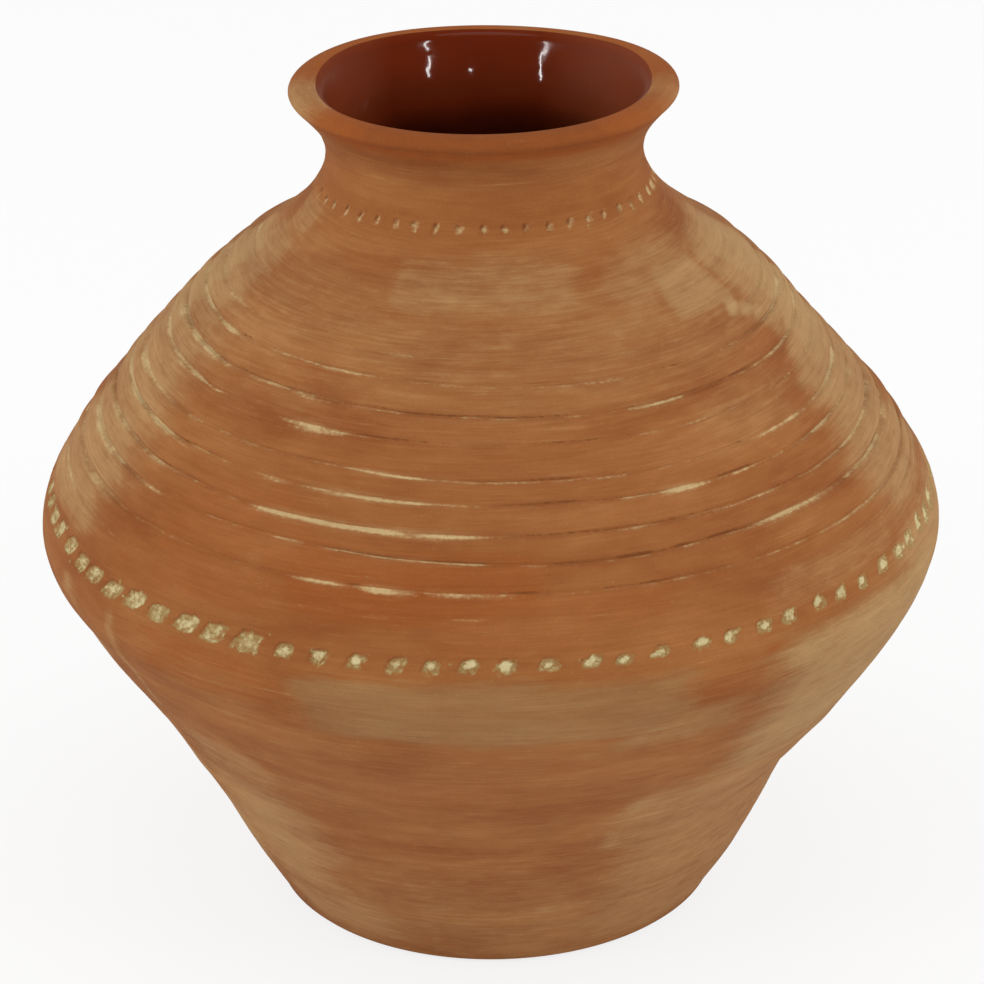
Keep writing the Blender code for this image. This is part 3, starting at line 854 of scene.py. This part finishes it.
def addSkin(name, skin, closed, bands, material, nodes):
    counts = [len(ring["points"]) for ring in skin]
    starts = np.concatenate(([0], np.cumsum(counts)))
    points = np.concatenate([ring["points"] for ring in skin])
    marks = np.concatenate([ring["marks"] for ring in skin])
    tones = np.concatenate([ring["tones"] for ring in skin])
    normals = np.concatenate([ring.get("normals", 0 * ring["points"]) for ring in skin])
    pairs = [(a, a + 1) for a in range(len(skin) - 1)] + ([(len(skin) - 1, 0)] if closed else [])
    gaps = []
    for a, b in pairs:  # hidden faces get a small share of the bake's map
        apart = np.linalg.norm(skin[a]["points"][0] - skin[b]["points"][0])
        shown = skin[a]["outer"] and skin[b]["outer"]
        gaps.append(apart if shown else apart * fineness["hiddenShare"])
    rise = np.concatenate(([0], np.cumsum(gaps))) / sum(gaps)
    side, end = fineness["mapMargin"]
    faces = []
    places = []
    smooth = []

    def keep(corner, turns, ups, isOuter):  # the map is cut into bands, each a part of the way round
        band = np.floor(turns.min(1) * bands + 1e-6)[:, None]
        u = side + (1 - 2 * side) * (turns * bands - band)
        v = (band + end + (1 - 2 * end) * ups) / bands
        faces.append(corner)
        places.append(np.stack((u, v), 2))
        smooth.append(np.full(len(corner), isOuter))

    for step, (a, b) in enumerate(pairs):
        own = (a, b)
        for corners in stripFaces(counts[a], counts[b]):
            corner = np.stack([starts[own[r]] + place % counts[own[r]] for r, place in corners], 1)
            turns = np.stack([place / counts[own[r]] for r, place in corners], 1)
            ups = np.stack([np.full(len(place), rise[step + r]) for r, place in corners], 1)
            keep(corner, turns, ups, skin[a]["outer"] and skin[b]["outer"])
    if not closed:
        for a, order in ((0, (1, 0)), (len(skin) - 1, (0, 1))):  # a fan closes each end on the axis
            j = np.arange(counts[a])
            ends = [starts[a] + (j + k) % counts[a] for k in order]
            corner = np.stack([np.full(counts[a], len(points))] + ends, 1)
            turns = np.stack([(j + 0.5) / counts[a]] + [(j + k) / counts[a] for k in order], 1)
            tip = 0.0 if a == 0 else 1.0
            ups = np.stack([np.full(counts[a], tip)] + [np.full(counts[a], rise[a])] * 2, 1)
            centre = skin[a]["points"].mean(0) * (0, 0, 1)
            points = np.vstack((points, centre))
            marks = np.vstack((marks, marks[starts[a]]))
            tones = np.vstack((tones, tones[starts[a]]))
            normals = np.vstack((normals, normals[starts[a]:starts[a + 1]].mean(0)))
            keep(corner, turns, ups, skin[a]["outer"])
    corners = [list(map(int, face)) for block in faces for face in block]
    mesh = bpy.data.meshes.new(name)
    mesh.from_pydata((points * mm).tolist(), [], corners)
    loops = np.concatenate([block.ravel() for block in faces])
    for title, values in (("marks", marks), ("tones", tones)):
        layer = mesh.attributes.new(title, "FLOAT_VECTOR", "POINT")
        layer.data.foreach_set("vector", values.astype(np.float32).ravel())
    layer = mesh.uv_layers.new(name="OFBake")
    spots = np.concatenate([block.reshape(-1, 2) for block in places])
    layer.uv.foreach_set("vector", spots.astype(np.float32).ravel())
    mesh.polygons.foreach_set("use_smooth", np.ones(len(corners), bool))
    own = np.concatenate([np.repeat(block, face.shape[1]) for block, face in zip(smooth, faces)])
    flat = np.zeros(len(corners) * 3, np.float32)
    mesh.polygons.foreach_get("normal", flat)
    sizes = np.concatenate([np.full(len(face), face.shape[1]) for face in faces])
    bent = np.where(own[:, None], normals[loops], np.repeat(flat.reshape(-1, 3), sizes, axis=0))
    mesh.normals_split_custom_set(bent.tolist())
    mesh.materials.append(material)
    piece = bpy.data.objects.new(name, mesh)
    scene.collection.objects.link(piece)
    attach(piece, "root")
    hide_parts(*nodes)
    print(name, "has", int((sizes - 2).sum()), "triangles")
    return piece


# materials
def toLinear(code):  # sRGB hex to linear colour
    parts = [int(code[i:i + 2], 16) / 255 for i in (1, 3, 5)]
    return [p / 12.92 if p <= 0.04045 else ((p + 0.055) / 1.055) ** 2.4 for p in parts] + [1.0]


def addNode(tree, kind, sockets=None, **settings):
    made = tree.nodes.new(kind)
    for name, value in settings.items():
        setattr(made, name, value)
    for name, value in (sockets or {}).items():
        if isinstance(value, bpy.types.NodeSocket):
            tree.links.new(value, made.inputs[name])
        else:
            made.inputs[name].default_value = value
    return made


# fired terracotta: thrown red earthenware, dry-brushed with thin cream slip that was wiped off again,
# so it looks matt and chalky, streaked along the wheel's turn, with cream left in every hollow
clayLook = {
    "deep": "#8c5027",
    "warm": "#9f6435",
    "red": "#964f20",
    "olive": "#94734a",
    "pale": "#b99868",
    "cream": "#c9af7e",
    "moss": "#9a8150",
    "chalk": "#cdbe8f",
    # dark crust, also the painted shade in the grooves, prints, nicks and on the lip's front
    "crustAndShade": "#73401f",
    "rough": 0.9,
    "roughSwing": 0.07,
    "ior": 1.45,
    "specular": 0.2,
    "relief": 0.06,  # millimetres
    "reliefStrength": 0.8,
    "brushRelief": 0.7,  # brush lines against grit
    # size along and across the wheel's turn in millimetres, and detail, of each noise; the brush lines and
    # the grit are drawn coarser than real ones, to show
    "noise": {"cloud": (55, 16, 3), "streak": (46, 1.2, 4), "brush": (16, 0.55, 4), "scumble": (24, 6, 7),
              "mottle": (10, 3, 4), "chip": (6, 2.4, 6), "lump": (1.6, 1.2, 3), "grit": (0.6, 0.6, 2)},
    # each coat: its load, the noises that break it up and by how much, the range of load that turns it on,
    # its colour and the most that it covers
    "coats": (
        ("red", (("cloud", 0.1), ("scumble", 0.12), ("streak", 0.06)), 0.1, 1.3, "red", 0.75),
        ("red", (("chip", 0.3), ("scumble", 0.16)), 0.4, 0.8, "red", 0.3),
        ("red", (("scumble", 0.1),), 0.95, 1.6, "red", 0.65),
        # past 1.25, only on the lip's front: painted shade
        ("red", (("scumble", 0.1),), 1.25, 2.1, "crustAndShade", 0.58),
        ("olive", (("streak", 0.12), ("scumble", 0.16), ("brush", 0.1)), 0.1, 1.3, "olive", 0.65),
        ("olive", (("chip", 0.26), ("streak", 0.2)), 0.35, 0.75, "olive", 0.22),
        ("pale", (("cloud", 0.1), ("streak", 0.08), ("scumble", 0.1), ("brush", 0.12)), 0.08, 1.45,
         "pale", 0.8),
        ("pale", (("chip", 0.3), ("brush", 0.2)), 0.4, 0.85, "pale", 0.16),
        ("none", (("brush", 0.6), ("streak", 0.5)), 0.6, 0.85, "pale", 0.3),
        ("none", (("brush", -0.6), ("streak", -0.5)), 0.6, 0.85, "deep", 0.45),
        ("crustAndShade", (("brush", 0.15), ("lump", 0.2)), 0.2, 0.95, "crustAndShade", 0.5),
        ("crustAndShade", (("lump", 0.3), ("grit", 0.1)), 0.34, 0.5, "crustAndShade", 0.5),
        ("ringSlip", (("brush", 0.18), ("lump", 0.22)), 0.15, 0.9, "cream", 0.6),
        ("ringSlip", (("lump", 0.34), ("brush", 0.24)), 0.42, 1.0, "cream", 0.68),
        ("printSlip", (("lump", 0.24), ("grit", 0.12)), 0.1, 0.52, "moss", 0.8),
        ("printSlip", (("lump", 0.44), ("grit", 0.16)), 0.42, 1.2, "chalk", 0.95),
    ),
    # wheel lines and grit darken or lighten the clay a little
    "tones": (("mottle", 0.03), ("chip", 0.035), ("streak", 0.03), ("brush", 0.05), ("grit", 0.05)),
}


def terracottaMaterial():
    look = clayLook
    material = bpy.data.materials.new("firedTerracotta")
    material.use_nodes = True
    tree = material.node_tree
    shader = tree.nodes["Principled BSDF"]
    place = addNode(tree, "ShaderNodeTexCoord").outputs["Object"]
    fields = {}
    for name, (along, across, detail) in look["noise"].items():
        scale = (1 / (along * mm), 1 / (along * mm), 1 / (across * mm))
        stretched = addNode(tree, "ShaderNodeMapping", {"Vector": place, "Scale": scale}).outputs[0]
        noise = {"Vector": stretched, "Scale": 1.0, "Detail": detail, "Roughness": 0.62, "Distortion": 0.3}
        noise = addNode(tree, "ShaderNodeTexNoise", noise).outputs["Fac"]
        spread = {"Value": noise, "From Min": 0.25, "From Max": 0.75, "To Min": -1.0, "To Max": 1.0}
        fields[name] = addNode(tree, "ShaderNodeMapRange", spread).outputs[0]  # -1 to 1
    loads = {"none": 0.0}
    for layer, names in (("marks", ("ringSlip", "crustAndShade", "printSlip")), ("tones", ("pale", "olive", "red"))):
        stored = addNode(tree, "ShaderNodeAttribute", attribute_name=layer).outputs["Vector"]
        loads.update(zip(names, addNode(tree, "ShaderNodeSeparateXYZ", {0: stored}).outputs))

    cloud = {"Value": fields["cloud"], "From Min": -0.7, "From Max": 0.7}
    cloud = addNode(tree, "ShaderNodeMapRange", cloud).outputs[0]
    colour = {0: cloud, 6: toLinear(look["deep"]), 7: toLinear(look["warm"])}
    colour = addNode(tree, "ShaderNodeMix", colour, data_type="RGBA").outputs[2]
    for source, noises, low, high, tint, most in look["coats"]:
        load = loads[source]
        for name, swing in noises:
            load = {0: fields[name], 1: swing, 2: load}
            load = addNode(tree, "ShaderNodeMath", load, operation="MULTIPLY_ADD").outputs[0]
        share = {"Value": load, "From Min": low, "From Max": high, "To Max": most}
        share = addNode(tree, "ShaderNodeMapRange", share, interpolation_type="SMOOTHSTEP").outputs[0]
        colour = {0: share, 6: colour, 7: toLinear(look[tint])}
        colour = addNode(tree, "ShaderNodeMix", colour, data_type="RGBA").outputs[2]
    tone = 1.0
    for name, swing in look["tones"]:
        tone = {0: fields[name], 1: swing, 2: tone}
        tone = addNode(tree, "ShaderNodeMath", tone, operation="MULTIPLY_ADD").outputs[0]
    colour = addNode(tree, "ShaderNodeVectorMath", {0: colour, "Scale": tone}, operation="SCALE").outputs[0]
    tree.links.new(colour, shader.inputs["Base Color"])
    rough = {0: fields["streak"], 1: look["roughSwing"], 2: look["rough"]}
    rough = addNode(tree, "ShaderNodeMath", rough, operation="MULTIPLY_ADD").outputs[0]
    tree.links.new(rough, shader.inputs["Roughness"])
    shader.inputs["IOR"].default_value = look["ior"]
    shader.inputs["Specular IOR Level"].default_value = look["specular"]
    # relief too fine for the mesh: brush lines and grit
    relief = {0: fields["brush"], 1: look["brushRelief"], 2: fields["grit"]}
    relief = addNode(tree, "ShaderNodeMath", relief, operation="MULTIPLY_ADD").outputs[0]
    bump = {"Height": relief, "Distance": look["relief"] * mm, "Strength": look["reliefStrength"]}
    tree.links.new(addNode(tree, "ShaderNodeBump", bump).outputs[0], shader.inputs["Normal"])
    return material


# brown gloss glaze: thick glass over red clay, so it is dark, wet-looking and faintly rippled by the throwing
glazeLook = {
    "deep": "#260802",
    "thin": "#64220c",
    "fade": (236, 270),  # heights over which it goes from the deep colour below to the thin one above, darker towards the bottom
    "poolShare": 0.5,  # how far pools and runs break that up
    "sides": "#8f4a2c",  # painted reflection: lighter, as a warm haze mirrored on the two sides of the throat, which are also duller
    "sideShift": 6,  # both are counted from this far left of the axis
    "sideRange": (24, 52),
    "sideShare": 0.45,
    "drySides": 0.8,
    "rough": (0.03, 0.11),
    "ior": 1.5,
    "specular": 0.2,
    "noise": {"pool": (20, 14), "ripple": (9, 7)},  # sizes along and across the wheel's turn
    "relief": 0.4,  # millimetres
    "reliefStrength": 0.4,
}


def glazeMaterial():
    look = glazeLook
    material = bpy.data.materials.new("brownGlossGlaze")
    material.use_nodes = True
    tree = material.node_tree
    shader = tree.nodes["Principled BSDF"]
    place = addNode(tree, "ShaderNodeTexCoord").outputs["Object"]
    fields = {}
    for name, (along, across) in look["noise"].items():
        scale = (1 / (along * mm), 1 / (along * mm), 1 / (across * mm))
        stretched = addNode(tree, "ShaderNodeMapping", {"Vector": place, "Scale": scale}).outputs[0]
        noise = {"Vector": stretched, "Scale": 1.0, "Detail": 2.0}
        fields[name] = addNode(tree, "ShaderNodeTexNoise", noise).outputs["Fac"]
    spot = addNode(tree, "ShaderNodeSeparateXYZ", {0: place}).outputs
    low, high = look["fade"]
    thin = {"Value": spot["Z"], "From Min": low * mm, "From Max": high * mm}
    thin = addNode(tree, "ShaderNodeMapRange", thin).outputs[0]
    thin = {0: fields["pool"], 1: look["poolShare"], 2: thin}
    thin = addNode(tree, "ShaderNodeMath", thin, operation="MULTIPLY_ADD").outputs[0]
    thin = {0: thin, 1: look["poolShare"] / 2}
    thin = addNode(tree, "ShaderNodeMath", thin, operation="SUBTRACT", use_clamp=True).outputs[0]
    colour = {0: thin, 6: toLinear(look["deep"]), 7: toLinear(look["thin"])}
    colour = addNode(tree, "ShaderNodeMix", colour, data_type="RGBA").outputs[2]
    # painted reflection: a lighter brown on the two sides of the throat
    aside = {0: spot["X"], 1: look["sideShift"] * mm}
    aside = addNode(tree, "ShaderNodeMath", aside, operation="ADD").outputs[0]
    aside = addNode(tree, "ShaderNodeMath", {0: aside}, operation="ABSOLUTE").outputs[0]
    near, far = look["sideRange"]
    aside = {"Value": aside, "From Min": near * mm, "From Max": far * mm, "To Max": look["sideShare"]}
    aside = addNode(tree, "ShaderNodeMapRange", aside).outputs[0]
    colour = {0: aside, 6: colour, 7: toLinear(look["sides"])}
    colour = addNode(tree, "ShaderNodeMix", colour, data_type="RGBA").outputs[2]
    tree.links.new(colour, shader.inputs["Base Color"])
    low, high = look["rough"]
    rough = {"Value": fields["pool"], "To Min": low, "To Max": high}
    rough = addNode(tree, "ShaderNodeMapRange", rough).outputs[0]
    rough = {0: aside, 1: look["drySides"], 2: rough}
    rough = addNode(tree, "ShaderNodeMath", rough, operation="MULTIPLY_ADD").outputs[0]
    tree.links.new(rough, shader.inputs["Roughness"])
    shader.inputs["IOR"].default_value = look["ior"]
    shader.inputs["Specular IOR Level"].default_value = look["specular"]
    bump = {"Height": fields["ripple"], "Distance": look["relief"] * mm, "Strength": look["reliefStrength"]}
    tree.links.new(addNode(tree, "ShaderNodeBump", bump).outputs[0], shader.inputs["Normal"])
    return material


terracotta = terracottaMaterial()
glaze = glazeMaterial()
print("materials made")

skin = outerSkin()
skinNormals([ring for place, ring in skin])
levels = [place for place, ring in skin]
coats = [ring for place, ring in skin]
seamRows = [min(range(len(levels)), key=lambda i: abs(levels[i] - z)) for z in pot["seams"]]
print("outer skin has", len(coats), "rings")

# the clay sections: each keeps its own stretch of the outer skin and closes through the wall
sections = {
    "pieces": (("footWall", ("foot_cup", "foot_luting")), ("bellyWall", ("lower_belly", "belly_luting")),
               ("shoulderWall", ("shoulder", "neck_luting")), ("neckWall", ("neck_collar",))),
    "bands": 4,  # parts round each piece in the bake's map
    "baseBands": 2,
    "floor": (60, 30, 5),  # rings on the hidden top of the base
    "lining": 7,  # rings up the hidden inside of a wall
}
count = fineness["around"]
bands = sections["bands"]
base = coats[:seamRows[0] + 1] + [plainRing(r, pot["seams"][0], count) for r in sections["floor"]]
addSkin("footBase", base, False, sections["baseBands"], terracotta,
        ("base_slab", "base_luting"))
for k, (name, nodes) in enumerate(sections["pieces"]):
    low, high = pot["seams"][k], pot["seams"][k + 1]
    lining = [plainRing(insideRadius(z), z, count) for z in np.linspace(high, low, sections["lining"])]
    wall = coats[seamRows[k]:seamRows[k + 1] + 1] + lining
    addSkin(name, wall, True, bands, terracotta, nodes)
addSkin("lipRoll", coats[seamRows[4]:], True, bands, terracotta, ("lip_roll",))
print("clay sections made")

# the glaze lines the inside and ends in a thin wavy edge on the lip
glazeCoat = {
    "thick": 1.0,
    "hidden": 0.3,  # how far its unseen side stands off the wall
    "sunk": (0.5, 0.25),  # its two sides end this deep in the clay
    "climb": 86,  # degrees up the lip's oval from its inner edge
    "drop": 2.0,  # the edge lies lower at the front and sides
    "dropSpread": 1.6,  # how soon it is down there
    "taper": 5,
    "corner": 4,  # between wall and floor
    "rounding": 1.2,
    "smallest": 3,  # radius of the last ring on the floor
    "evenBelow": (12, 40),  # the floor is a true circle
    "ripple": 0.16,
    "waveShare": 0.6,
    "noise": {"ripple": (20, 7, 81), "wave": (9, 4, 82)},
    "around": 256,
    "samples": (220, 40),  # down the wall, across the floor
    "stretches": (0, 8, 60),  # from the edge on, with fewer rings in each
    "rings": (14, 60, 90),
    "bands": 4,
}


def glazeSkin():
    coat = glazeCoat
    line = lipOutline()
    edge = np.array(lipPoint(math.radians(180 - coat["climb"])))
    start = int(np.argmin(np.hypot(*(line - edge).T)))
    down, across = coat["samples"]
    bottom = float(pot["seams"][0])
    z = np.linspace(pot["seams"][4], bottom + coat["corner"], down)[1:]
    wall = np.stack((insideRadius(z), z), 1)
    floor = np.linspace(wall[-1, 0] - coat["corner"], coat["smallest"], across)
    floor = np.stack((floor, np.full(across, bottom)), 1)
    line = smoothed(np.concatenate((line[start:], wall, floor)), coat["rounding"])
    normals = lineNormals(line)
    arc = arcAlong(line)
    ends = coat["stretches"] + (arc[-1],)
    steps = [np.linspace(ends[i], ends[i + 1], rows)[min(i, 1):] for i, rows in enumerate(coat["rings"])]
    deg = angles(coat["around"])
    none = np.zeros((len(deg), 3))
    lower = coat["drop"] * (1 - np.clip(coat["dropSpread"] * np.sin(np.radians(deg)), 0, 1))
    noise = coat["noise"]
    faces = ([], [])
    for s in np.concatenate(steps):
        r, z, nr, nz = (float(np.interp(s, arc, column)) for column in (*line.T, *normals.T))
        taper = ease(0, coat["taper"], s - lower)
        ripple = coat["waveShare"] * softNoise(deg, s, *noise["wave"])
        ripple = softNoise(deg, s, *noise["ripple"]) + ripple
        unseen = coat["hidden"] * taper - coat["sunk"][0] * (1 - taper)
        seen = coat["thick"] * taper - coat["sunk"][1] * (1 - taper) + coat["ripple"] * taper * ripple
        for k, offset in enumerate((unseen, seen)):
            out = r + nr * offset + outOfRound(deg, z) * ease(*coat["evenBelow"], z)
            faces[k].append(ringOf(deg, out, z + nz * offset + mouthLift(deg, z), none, none, k == 1))
    skinNormals(faces[1])
    return faces[0][::-1] + faces[1]


addSkin("innerGlaze", glazeSkin(), False, glazeCoat["bands"], glaze, ("inner_glaze",))
print("glaze made")

# plain pale floor that keeps the shadow, white world, lamps, a brown screen that only the glaze mirrors
studio = {  # in metres
    "floor": 8.0,
    "below": 0.4,  # millimetres, just clear of the foot
    "paper": "#f4f4f4",
    "white": "#ffffff",
    "felt": "#744a30",
    "floorGlow": 0.8,
    "sky": 0.8,
    "screen": (2.3, 0.5, 7.0),  # away, lowest, highest
    "screenSides": 64,
    "aim": 0.16,  # height that the lamps point at
    # each: azimuth from behind the camera, elevation, distance, width, height, watts
    "lamps": {
        "rightStrip": (48, 35, 1.9, 0.035, 0.5, 4),
        "leftStrip": (-49, 35, 1.9, 0.035, 0.5, 4),
        "smallLamp": (14, 36.5, 1.9, 0.05, 0.08, 0.7),
        "rightFill": (95, 20, 2.0, 1.6, 1.0, 7),
        "leftFill": (-95, 20, 2.0, 1.6, 1.0, 7),
    },
    "unmirrored": 1,  # lamps wider than this don't show in the glaze
}


def stageSheet(name, points, faces, material):  # a floor or screen that isn't part of the pot
    mesh = bpy.data.meshes.new(name)
    mesh.from_pydata(points, [], faces)
    mesh.materials.append(material)
    sheet = bpy.data.objects.new(name, mesh)
    scene.collection.objects.link(sheet)
    return sheet


def seenShare(tree, most):  # how much of the plain white the camera and mirror rays see
    path = addNode(tree, "ShaderNodeLightPath").outputs
    seen = path["Is Camera Ray"]
    for ray in ("Is Glossy Ray", "Is Transmission Ray"):
        seen = addNode(tree, "ShaderNodeMath", {0: seen, 1: path[ray]}, operation="MAXIMUM").outputs[0]
    return addNode(tree, "ShaderNodeMath", {0: seen, 1: most}, operation="MULTIPLY").outputs[0]


paper = bpy.data.materials.new("whitePaper")  # matt white sheet
paper.use_nodes = True
tree = paper.node_tree
tree.nodes.remove(tree.nodes["Principled BSDF"])
matt = addNode(tree, "ShaderNodeBsdfDiffuse", {"Color": toLinear(studio["paper"])}).outputs[0]
glow = addNode(tree, "ShaderNodeEmission", {"Color": toLinear(studio["white"]), "Strength": 1.0}).outputs[0]
mixed = {0: seenShare(tree, studio["floorGlow"]), 1: matt, 2: glow}
mixed = addNode(tree, "ShaderNodeMixShader", mixed).outputs[0]
tree.links.new(mixed, tree.nodes["Material Output"].inputs["Surface"])
half = studio["floor"] / 2
level = -studio["below"] * mm
corners = [(x * half, y * half, level) for x, y in ((-1, -1), (1, -1), (1, 1), (-1, 1))]
stageSheet("studioFloor", corners, [(0, 1, 2, 3)], paper)

felt = bpy.data.materials.new("brownFelt")  # dull cloth
felt.use_nodes = True
cloth = felt.node_tree.nodes["Principled BSDF"]
cloth.inputs["Base Color"].default_value = toLinear(studio["felt"])
cloth.inputs["Roughness"].default_value = 1.0
away, low, high = studio["screen"]  # keeps the glaze dark, as a dim room round a real pot does
sides = studio["screenSides"]
turns = np.radians(np.linspace(0, 360, sides + 1))
points = [(away * math.cos(a), away * math.sin(a), z) for a in turns for z in (low, high)]
panes = [(2 * i, 2 * i + 1, 2 * i + 3, 2 * i + 2) for i in range(sides)]
screen = stageSheet("brownScreen", points, panes, felt)
screen.visible_camera = False
screen.visible_diffuse = False
screen.visible_shadow = False

world = bpy.data.worlds.new("studioWhite")
scene.world = world
world.use_nodes = True
tree = world.node_tree
sky = tree.nodes["Background"]
sky.inputs["Color"].default_value = toLinear(studio["white"])
strength = {"Value": seenShare(tree, 1.0), "To Min": studio["sky"], "To Max": 1.0}
tree.links.new(addNode(tree, "ShaderNodeMapRange", strength).outputs[0], sky.inputs["Strength"])

for name, (azimuth, elevation, away, wide, tall, watts) in studio["lamps"].items():
    lamp = bpy.data.lights.new(name, "AREA")
    lamp.shape = "RECTANGLE"
    lamp.size = wide
    lamp.size_y = tall
    lamp.energy = watts
    box = bpy.data.objects.new(name, lamp)
    scene.collection.objects.link(box)
    box.visible_glossy = wide < studio["unmirrored"]
    turned = Matrix.Rotation(math.radians(azimuth), 4, "Z")
    turned = turned @ Matrix.Rotation(math.radians(90 - elevation), 4, "X")
    box.matrix_world = Matrix.Translation((0, 0, studio["aim"])) @ turned @ Matrix.Translation((0, 0, away))
print("studio lit")
